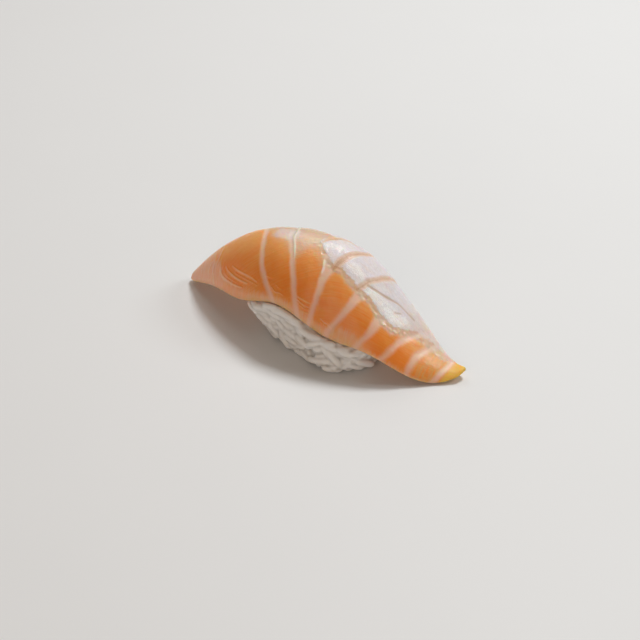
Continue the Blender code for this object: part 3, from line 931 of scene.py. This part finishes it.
class Sheet:
    """Builds the nodes of one material or node group."""

    def __init__(self, tree: NodeTree) -> None:
        """Starts with the tree's own nodes."""
        self.tree = tree

    def add(self, kind: str, **values: object) -> bpy.types.Node:
        """Adds a node and sets its properties."""
        node = self.tree.nodes.new(kind)
        for name, value in values.items():
            setattr(node, name, value)
        return node

    def feed(self, socket: NodeSocket, value: object) -> None:
        """Links a socket to another, or sets its number or colour."""
        if isinstance(value, NodeSocket):
            self.tree.links.new(value, socket)
        elif isinstance(value, tuple) and len(value) == 3 and socket.type == "RGBA":
            socket.default_value = (*value, 1.0)
        else:
            socket.default_value = value

    def calc(self, operation: str, *values: object) -> NodeSocket:
        """One math node over up to three values."""
        node = self.add("ShaderNodeMath", operation=operation)
        for index, value in enumerate(values):
            self.feed(node.inputs[index], value)
        return node.outputs[0]

    def times(self, first: object, second: object) -> NodeSocket:
        """Product of two values."""
        return self.calc("MULTIPLY", first, second)

    def scaled(self, value: object, factor: object, plus: object) -> NodeSocket:
        """A value times a factor, plus another."""
        return self.calc("MULTIPLY_ADD", value, factor, plus)

    def stirred(self, name: str, noise: object, strength: float) -> NodeSocket:
        """A number that the vertices carry, moved up and down by a noise."""
        return self.scaled(self.calc("SUBTRACT", noise, 0.5), strength, self.field(name))

    def tint(self, colour: object, mask: object, share: float, other: object) -> NodeSocket:
        """Covers a colour with another by a share of a mask."""
        return self.mix(self.times(mask, share), colour, other)

    def step(self, value: object, low: float, high: float) -> NodeSocket:
        """Eased ramp of a value from 0 at low to 1 at high."""
        node = self.add("ShaderNodeMapRange", interpolation_type="SMOOTHSTEP")
        self.feed(node.inputs["Value"], value)
        self.feed(node.inputs["From Min"], low)
        self.feed(node.inputs["From Max"], high)
        return node.outputs["Result"]

    def mix(self, share: object, first: object, second: object) -> NodeSocket:
        """Blends two colours."""
        node = self.add("ShaderNodeMix", data_type="RGBA")
        self.feed(node.inputs[0], share)
        self.feed(node.inputs[6], first)
        self.feed(node.inputs[7], second)
        return node.outputs[2]

    def field(self, name: str) -> NodeSocket:
        """A number that the piece's vertices carry."""
        return self.add("ShaderNodeAttribute", attribute_type="GEOMETRY", attribute_name=name).outputs["Fac"]

    def grain(self, scale: object, detail: float = 3.0, stretch: Triple | None = None,
              uv: bool = False, roughness: float = 0.5, distortion: float = 0.0,
              turn: float = 0.0) -> NodeSocket:
        """Noise over the piece.

        Args:
            scale: Blotches in a metre, or in a centimetre on the UV map.
            detail: Number of finer layers.
            stretch: Scale along each axis.
            uv: Whether it follows the piece's own UV map.
            roughness: Strength of the finer layers.
            distortion: How far it is stirred.
            turn: Degrees that the stretched pattern is turned.

        Returns:
            The noise value.
        """
        spot = self.add("ShaderNodeTexCoord").outputs["UV" if uv else "Object"]
        if stretch:
            mapping = self.add("ShaderNodeMapping", vector_type="TEXTURE")
            self.feed(mapping.inputs["Vector"], spot)
            mapping.inputs["Scale"].default_value = [1.0 / share for share in stretch]
            mapping.inputs["Rotation"].default_value[2] = math.radians(turn)
            spot = mapping.outputs["Vector"]
        node = self.add("ShaderNodeTexNoise")
        self.feed(node.inputs["Vector"], spot)
        self.feed(node.inputs["Scale"], scale)
        node.inputs["Detail"].default_value = detail
        node.inputs["Roughness"].default_value = roughness
        node.inputs["Distortion"].default_value = distortion
        return node.outputs["Fac"]

    def bump(self, height: object, strength: float, distance: float) -> NodeSocket:
        """A bump from a height."""
        node = self.add("ShaderNodeBump")
        self.feed(node.inputs["Height"], height)
        node.inputs["Strength"].default_value = strength
        node.inputs["Distance"].default_value = distance
        return node.outputs["Normal"]


def new_material(name: str) -> tuple[bpy.types.Material, Sheet, bpy.types.Node]:
    """An empty Principled material, its sheet and its shader."""
    made = bpy.data.materials.new(name)
    made.use_nodes = True
    return made, Sheet(made.node_tree), made.node_tree.nodes["Principled BSDF"]


def moist_film() -> NodeTree:
    """A node group for moist food: uneven wetness and a fine unevenness of the surface.

    Returns:
        The group, with outputs Wetness and Height.
    """
    group = bpy.data.node_groups.new("moist film", "ShaderNodeTree")
    for name, kind, value in (("Scale", "NodeSocketFloat", 500.0), ("Dry", "NodeSocketFloat", 0.35),
                              ("Wet", "NodeSocketFloat", 0.15)):
        group.interface.new_socket(name, in_out="INPUT", socket_type=kind).default_value = value
    for name in ("Wetness", "Height"):
        group.interface.new_socket(name, in_out="OUTPUT", socket_type="NodeSocketFloat")
    sheet = Sheet(group)
    source = sheet.add("NodeGroupInput")
    result = sheet.add("NodeGroupOutput")
    broad = sheet.grain(source.outputs["Scale"], 3.0)
    fine = sheet.grain(sheet.times(source.outputs["Scale"], 4.0), 2.0)
    ramp = sheet.add("ShaderNodeMapRange")
    for name, value in (("Value", broad), ("From Min", 0.35), ("From Max", 0.65),
                        ("To Min", source.outputs["Wet"]), ("To Max", source.outputs["Dry"])):
        sheet.feed(ramp.inputs[name], value)
    sheet.feed(result.inputs["Wetness"], ramp.outputs["Result"])
    sheet.feed(result.inputs["Height"], sheet.scaled(fine, 0.4, broad))
    return group


def place_group(sheet: Sheet, group: NodeTree, **values: float) -> bpy.types.Node:
    """Puts a node group in a material with its own values."""
    node = sheet.add("ShaderNodeGroup")
    node.node_tree = group
    for name, value in values.items():
        node.inputs[name].default_value = value
    return node


@dataclass(frozen=True)
class FleshFinish:
    """Fatty salmon: orange fibres, pale sheets of fat, a silvery membrane and a translucent rim."""

    deep: Triple = (0.9, 0.258, 0.024)
    light: Triple = (0.92, 0.44, 0.14)
    fat: Triple = (0.93, 0.64, 0.49)
    thin_fat: Triple = (0.88, 0.48, 0.34)
    # Pale crease colour: partly thin fat, partly painted highlight.
    fold: Triple = (0.98, 0.6, 0.38)
    rim: Triple = (0.86, 0.45, 0.26)
    end: Triple = (0.9, 0.56, 0.4)
    silver: Triple = (0.8, 0.76, 0.785)
    pit: Triple = (0.73, 0.685, 0.71)
    # Painted highlight colour of the membrane.
    white: Triple = (0.93, 0.915, 0.9)
    # Painted highlight: the pale streak along a fat sheet's raised edge.
    painted_ledge_glint: Triple = (0.98, 0.84, 0.72)
    lilac: Triple = (0.8, 0.72, 0.72)
    milk: Triple = (0.74, 0.58, 0.44)
    tan: Triple = (0.76, 0.5, 0.32)
    slit: Triple = (0.56, 0.38, 0.25)
    amber: Triple = (0.52, 0.25, 0.1)
    peach: Triple = (0.74, 0.4, 0.14)
    yellow: Triple = (0.86, 0.49, 0.075)

    def weave(self, sheet: Sheet) -> Masks:
        """The places and noises that the colours and the surface share, by name."""
        return {
            "along": sheet.field("along"),
            "across": sheet.field("across"),
            "fibre": sheet.grain(4.0, 4.0, (0.35, 6.0, 1.0), uv=True, roughness=0.6, distortion=0.3, turn=30.0),
            "comb": sheet.grain(7.0, 3.0, (2.6, 0.3, 1.0), uv=True, roughness=0.6),
            "blotch": sheet.grain(1.6, 3.0, uv=True),
            "speck": sheet.grain(14.0, 4.0, uv=True, roughness=0.65),
            "dots": sheet.grain(34.0, 2.0, (0.8, 1.2, 1.0), uv=True)}

    def flesh(self, sheet: Sheet, mask: Masks) -> NodeSocket:
        """Orange fibres, paler on top, at the thin rim (along the left end's crest partly painted sheen) and at the
        right end, with the fat and the creases (their pale lines partly painted highlight).
        """
        along, comb = mask["along"], mask["comb"]
        high = sheet.step(mask["across"], -0.75, -0.15)
        tone = sheet.scaled(mask["fibre"], 0.8, sheet.times(high, 0.6))
        tone = sheet.scaled(mask["blotch"], 0.5, tone)
        colour = sheet.mix(sheet.step(tone, 0.48, 1.28), self.deep, self.light)
        # Pale thin rim; along the left end's crest this is partly painted sheen.
        rim = sheet.step(sheet.stirred("rim", comb, 3.0), -1.2, 0.9)
        rim = sheet.times(rim, sheet.scaled(sheet.step(comb, 0.34, 0.66), 0.32, 0.7))
        thin = sheet.mix(sheet.step(along, -24.0, -32.0), self.rim, self.end)
        colour = sheet.tint(colour, rim, 0.75, thin)
        right = sheet.times(sheet.step(along, 31.0, 36.0), sheet.step(comb, 0.25, 0.65))
        colour = sheet.tint(colour, right, 0.8, self.peach)
        mask["fat_gap"] = sheet.stirred("fat", mask["speck"], 0.5)
        mask["fat"] = sheet.step(mask["fat_gap"], 0.7, -0.55)
        paling = sheet.mix(sheet.step(mask["across"], -0.45, -0.85), self.fat, self.thin_fat)
        colour = sheet.tint(colour, mask["fat"], 0.92, paling)
        # Pale lines along the creases: partly thin fat, partly painted highlight on the fold ridges.
        return sheet.tint(colour, sheet.step(sheet.field("crease"), 0.12, -0.14), 0.55, self.fold)

    def membrane(self, sheet: Sheet, mask: Masks, colour: NodeSocket) -> NodeSocket:
        """Adds the haze that leads to the membrane, and the mottled silver membrane itself, painted whiter in places
        as highlight.
        """
        fibre, speck = mask["fibre"], mask["speck"]
        mask["skin_gap"] = sheet.stirred("skin", speck, 1.8)
        mask["border"] = sheet.step(mask["skin_gap"], -2.2, -0.7)
        reach = sheet.calc("ADD", mask["along"], sheet.times(sheet.step(mask["across"], 0.08, 0.85), 54.0))
        ragged = sheet.scaled(sheet.calc("SUBTRACT", mask["blotch"], 0.5), 6.0, speck)
        whole = sheet.step(sheet.scaled(ragged, 2.0, reach), 1.2, 4.0)
        haze = sheet.times(sheet.step(sheet.stirred("haze", fibre, 2.2), -3.2, 4.2), sheet.step(reach, 9.0, 3.0))
        haze = sheet.times(haze, sheet.scaled(sheet.step(fibre, 0.35, 0.65), 0.22, 0.74))
        colour = sheet.mix(sheet.calc("MAXIMUM", haze, sheet.times(mask["border"], 0.85)), colour, self.milk)
        colour = sheet.tint(colour, sheet.step(sheet.field("patch"), 0.05, 0.9), 0.6, self.lilac)
        worn = sheet.step(sheet.grain(4.0, 4.0, (0.6, 1.6, 1.0), uv=True, roughness=0.6), 0.3, 0.6)
        cover = sheet.times(sheet.step(mask["skin_gap"], 0.35, 0.95), whole)
        cover = sheet.times(cover, sheet.scaled(sheet.step(mask["along"], 24.0, 33.0), -0.45, 1.0))
        mask["cover"] = sheet.times(cover, sheet.scaled(worn, 0.25, 0.75))
        # Painted highlight: the membrane turns white along the highlight strokes.
        mask["bright"] = sheet.step(sheet.stirred("bright", speck, 3.6), 1.0, -0.3)
        mottled = sheet.mix(sheet.step(speck, 0.35, 0.65), self.pit, self.silver)
        mottled = sheet.tint(mottled, mask["bright"], 0.9, self.white)
        mottled = sheet.tint(mottled, sheet.step(mask["dots"], 0.47, 0.36), 0.6, self.pit)
        return sheet.mix(mask["cover"], colour, mottled)

    def marks(self, sheet: Sheet, mask: Masks, colour: NodeSocket) -> NodeSocket:
        """Adds the membrane's cracks and slits, a painted highlight along a fat sheet's raised edge, and the yellow
        tip.
        """
        gap = sheet.stirred("crack", mask["speck"], 0.4)
        near = sheet.step(mask["skin_gap"], -1.6, -0.2)
        mask["band"] = sheet.times(sheet.step(gap, 0.85, 0.0), near)
        crack = sheet.times(sheet.step(gap, 0.0, -0.35), near)
        slit = sheet.times(sheet.step(sheet.field("slit"), 0.36, -0.14), near)
        # Painted highlight: a pale streak where a glint falls on the raised edge of a fat sheet.
        painted_ledge_glint = sheet.step(sheet.field("ledge"), 0.25, 0.8)
        tip = sheet.times(sheet.step(mask["along"], 40.0, 41.6), sheet.step(mask["fat_gap"], 0.0, 0.8))
        for form, share, other in ((mask["band"], 0.75, self.tan), (crack, 0.45, self.amber),
                                   (slit, 0.72, self.slit), (painted_ledge_glint, 0.9, self.painted_ledge_glint), (tip, 0.9, self.yellow)):
            colour = sheet.tint(colour, form, share, other)
        return colour

    def finish(self, sheet: Sheet, mask: Masks, film: NodeTree, shader: bpy.types.Node) -> None:
        """Feeds the wetness, the fine bumps, the light that sinks in and the shine."""
        cover, bright, speck = mask["cover"], mask["bright"], mask["speck"]
        wet = place_group(sheet, film, Scale=420.0, Dry=0.48, Wet=0.3)
        tip = sheet.step(mask["along"], 38.0, 41.0)
        glitter = sheet.times(sheet.times(bright, cover), sheet.step(speck, 0.4, 0.56))
        dull = sheet.scaled(glitter, -0.22, sheet.scaled(cover, 0.1, wet.outputs["Wetness"]))
        sheet.feed(shader.inputs[Socket.ROUGHNESS.value], sheet.scaled(tip, 0.14, dull))
        height = sheet.scaled(mask["fibre"], 0.6, sheet.times(wet.outputs["Height"], 0.5))
        pits = sheet.times(cover, sheet.calc("ADD", mask["dots"], speck))
        height = sheet.calc("ADD", height, sheet.times(pits, sheet.scaled(bright, 1.2, 1.0)))
        height = sheet.scaled(sheet.step(sheet.field("crease"), 0.25, -0.12), 1.4, height)
        sheet.feed(shader.inputs[Socket.NORMAL.value], sheet.bump(height, 0.5, 0.12 * MM))
        solid = sheet.calc("MAXIMUM", cover, sheet.times(mask["fat"], 0.6))
        sheet.feed(shader.inputs["Subsurface Weight"], sheet.scaled(solid, -0.6, 0.8))
        edge = sheet.times(mask["border"], sheet.calc("SUBTRACT", 1.0, cover))
        shine = sheet.calc("SUBTRACT", edge, sheet.times(sheet.calc("MAXIMUM", cover, mask["band"]), 0.25))
        shine = sheet.scaled(tip, -0.35, shine)
        sheet.feed(shader.inputs[Socket.COAT.value], sheet.scaled(shine, 0.5, 0.2))
        shader.inputs["Subsurface Radius"].default_value = (1.0, 0.27, 0.1)
        shader.inputs["Subsurface Scale"].default_value = 5.0 * MM
        shader.inputs["IOR"].default_value = 1.42
        shader.inputs["Coat Roughness"].default_value = 0.18

    def make(self, film: NodeTree) -> bpy.types.Material:
        """Builds the material.

        Args:
            film: The moist film group.

        Returns:
            The flesh material.
        """
        made, sheet, shader = new_material("salmon belly flesh")
        mask = self.weave(sheet)
        colour = self.membrane(sheet, mask, self.flesh(sheet, mask))
        sheet.feed(shader.inputs[Socket.COLOUR.value], self.marks(sheet, mask, colour))
        self.finish(sheet, mask, film, shader)
        return made


@dataclass(frozen=True)
class RiceFinish:
    """Cooked rice: translucent grey-white grains with a moist shine, painted darker as shade in the grooves between
    them.
    """

    pale: Triple = (0.775, 0.75, 0.72)
    # Painted shade colour for the grooves between grains.
    shade: Triple = (0.63, 0.6, 0.565)

    def make(self, film: NodeTree) -> bpy.types.Material:
        """Builds the material.

        Args:
            film: The moist film group.

        Returns:
            The rice material.
        """
        made, sheet, shader = new_material("cooked rice")
        cloud = sheet.grain(260.0, 3.0)
        deep = sheet.stirred("groove", cloud, -0.25)
        # Painted shade: darker where the surface sinks between grains.
        colour = sheet.mix(sheet.step(deep, 0.16, -0.1), self.shade, self.pale)
        sheet.feed(shader.inputs[Socket.COLOUR.value], colour)
        wet = place_group(sheet, film, Scale=700.0, Dry=0.5, Wet=0.3)
        sheet.feed(shader.inputs[Socket.ROUGHNESS.value], wet.outputs["Wetness"])
        sheet.feed(shader.inputs[Socket.NORMAL.value], sheet.bump(wet.outputs["Height"], 0.35, 0.1 * MM))
        shader.inputs["Subsurface Weight"].default_value = 1.0
        shader.inputs["Subsurface Radius"].default_value = (1.0, 0.92, 0.8)
        shader.inputs["Subsurface Scale"].default_value = 1.2 * MM
        shader.inputs["Coat Weight"].default_value = 0.15
        shader.inputs["Coat Roughness"].default_value = 0.3
        return made


@dataclass(frozen=True)
class Lamp:
    """A round soft light one metre away: watts, width, height over the floor and turn from +Y to +X."""

    name: str
    power: float
    size: float
    elevation: float
    azimuth: float
    tint: Triple

    def build(self) -> None:
        """Hangs the light, turned to the part."""
        high, turn = math.radians(self.elevation), math.radians(self.azimuth)
        way = Vector((math.sin(turn) * math.cos(high), math.cos(turn) * math.cos(high), math.sin(high)))
        lamp = bpy.data.lights.new(self.name, "AREA")
        lamp.shape = "DISK"
        lamp.size = self.size
        lamp.energy = self.power
        lamp.color = self.tint
        hung = bpy.data.objects.new(self.name, lamp)
        hung.location = way
        hung.rotation_euler = way.to_track_quat("Z", "Y").to_euler()
        bpy.context.scene.collection.objects.link(hung)


@dataclass
class Studio:
    """The plain pale floor, the soft lights and the camera at the photograph's angle."""

    camera_place: Triple = (0.1392, -0.2552, 0.2035)
    right: Triple = (0.86624, 0.4987, 0.03055)
    up: Triple = (-0.30603, 0.48127, 0.82142)
    forward: Triple = (-0.39493, 0.7209, -0.56951)
    lens: float = 69.67
    floor_size: float = 4.0
    floor_colour: Triple = (0.765, 0.772, 0.775)
    lamps: tuple[Lamp, ...] = (Lamp("key", 6.0, 0.24, 60.0, 5.0, (0.95, 0.985, 1.0)),
                               Lamp("left", 1.15, 0.5, 46.0, -50.0, (1.0, 0.975, 0.95)),
                               Lamp("side", 1.9, 0.32, 42.0, 54.0, (0.95, 0.985, 1.0)),
                               Lamp("fill", 2.3, 0.8, 22.0, 172.0, (1.0, 0.875, 0.765)))
    surround: Triple = (1.0, 0.79, 0.63)
    ambient: float = 0.18

    def build_floor(self) -> Piece:
        """Lays the floor a hair under the part."""
        deselect()
        bpy.ops.mesh.primitive_plane_add(size=self.floor_size, location=(0.0, 0.0, -0.02 * MM))
        floor = take_primitive("floor")
        made, sheet, shader = new_material("pale floor")
        colour = sheet.mix(sheet.grain(30.0, 2.0), self.floor_colour, tuple(0.985 * c for c in self.floor_colour))
        sheet.feed(shader.inputs[Socket.COLOUR.value], colour)
        shader.inputs["Roughness"].default_value = 0.55
        floor.data.materials.append(made)
        return floor

    def build_lights(self) -> None:
        """Sets the soft lights and an even surround."""
        for lamp in self.lamps:
            lamp.build()
        world = bpy.data.worlds.new("surround")
        world.use_nodes = True
        back = world.node_tree.nodes["Background"]
        back.inputs["Color"].default_value = (*self.surround, 1.0)
        back.inputs["Strength"].default_value = self.ambient
        bpy.context.scene.world = world
        bpy.context.scene.view_settings.view_transform = "Standard"

    def build_camera(self) -> None:
        """Places the camera where the photograph was taken from."""
        lens = bpy.data.cameras.new("camera")
        lens.lens = self.lens
        lens.sensor_width = 36.0
        lens.clip_start = 0.01
        camera = bpy.data.objects.new("camera", lens)
        back = [-v for v in self.forward]
        turn = Matrix((self.right, self.up, back)).transposed().to_4x4()
        camera.matrix_world = Matrix.Translation(self.camera_place) @ turn
        bpy.context.scene.collection.objects.link(camera)
        bpy.context.scene.camera = camera


def main() -> None:
    """Builds the slice and the rice, dresses them and sets the scene."""
    logging.basicConfig(level=logging.INFO, format="%(message)s")
    film = moist_film()
    fish = SalmonSlice()
    fish_piece = fish.build()
    fish_piece.data.materials.append(FleshFinish().make(film))
    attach(fish_piece, "root")
    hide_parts("salmon_slice")
    LOG.info("%s: %d faces", fish_piece.name, len(fish_piece.data.polygons))

    block = RiceBlock().build(fish_piece, fish)
    block.data.materials.append(RiceFinish().make(film))
    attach(block, "root")
    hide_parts("rice")
    LOG.info("%s: %d faces", block.name, len(block.data.polygons))

    studio = Studio()
    studio.build_floor()
    studio.build_lights()
    studio.build_camera()


if __name__ == "__main__":
    main()
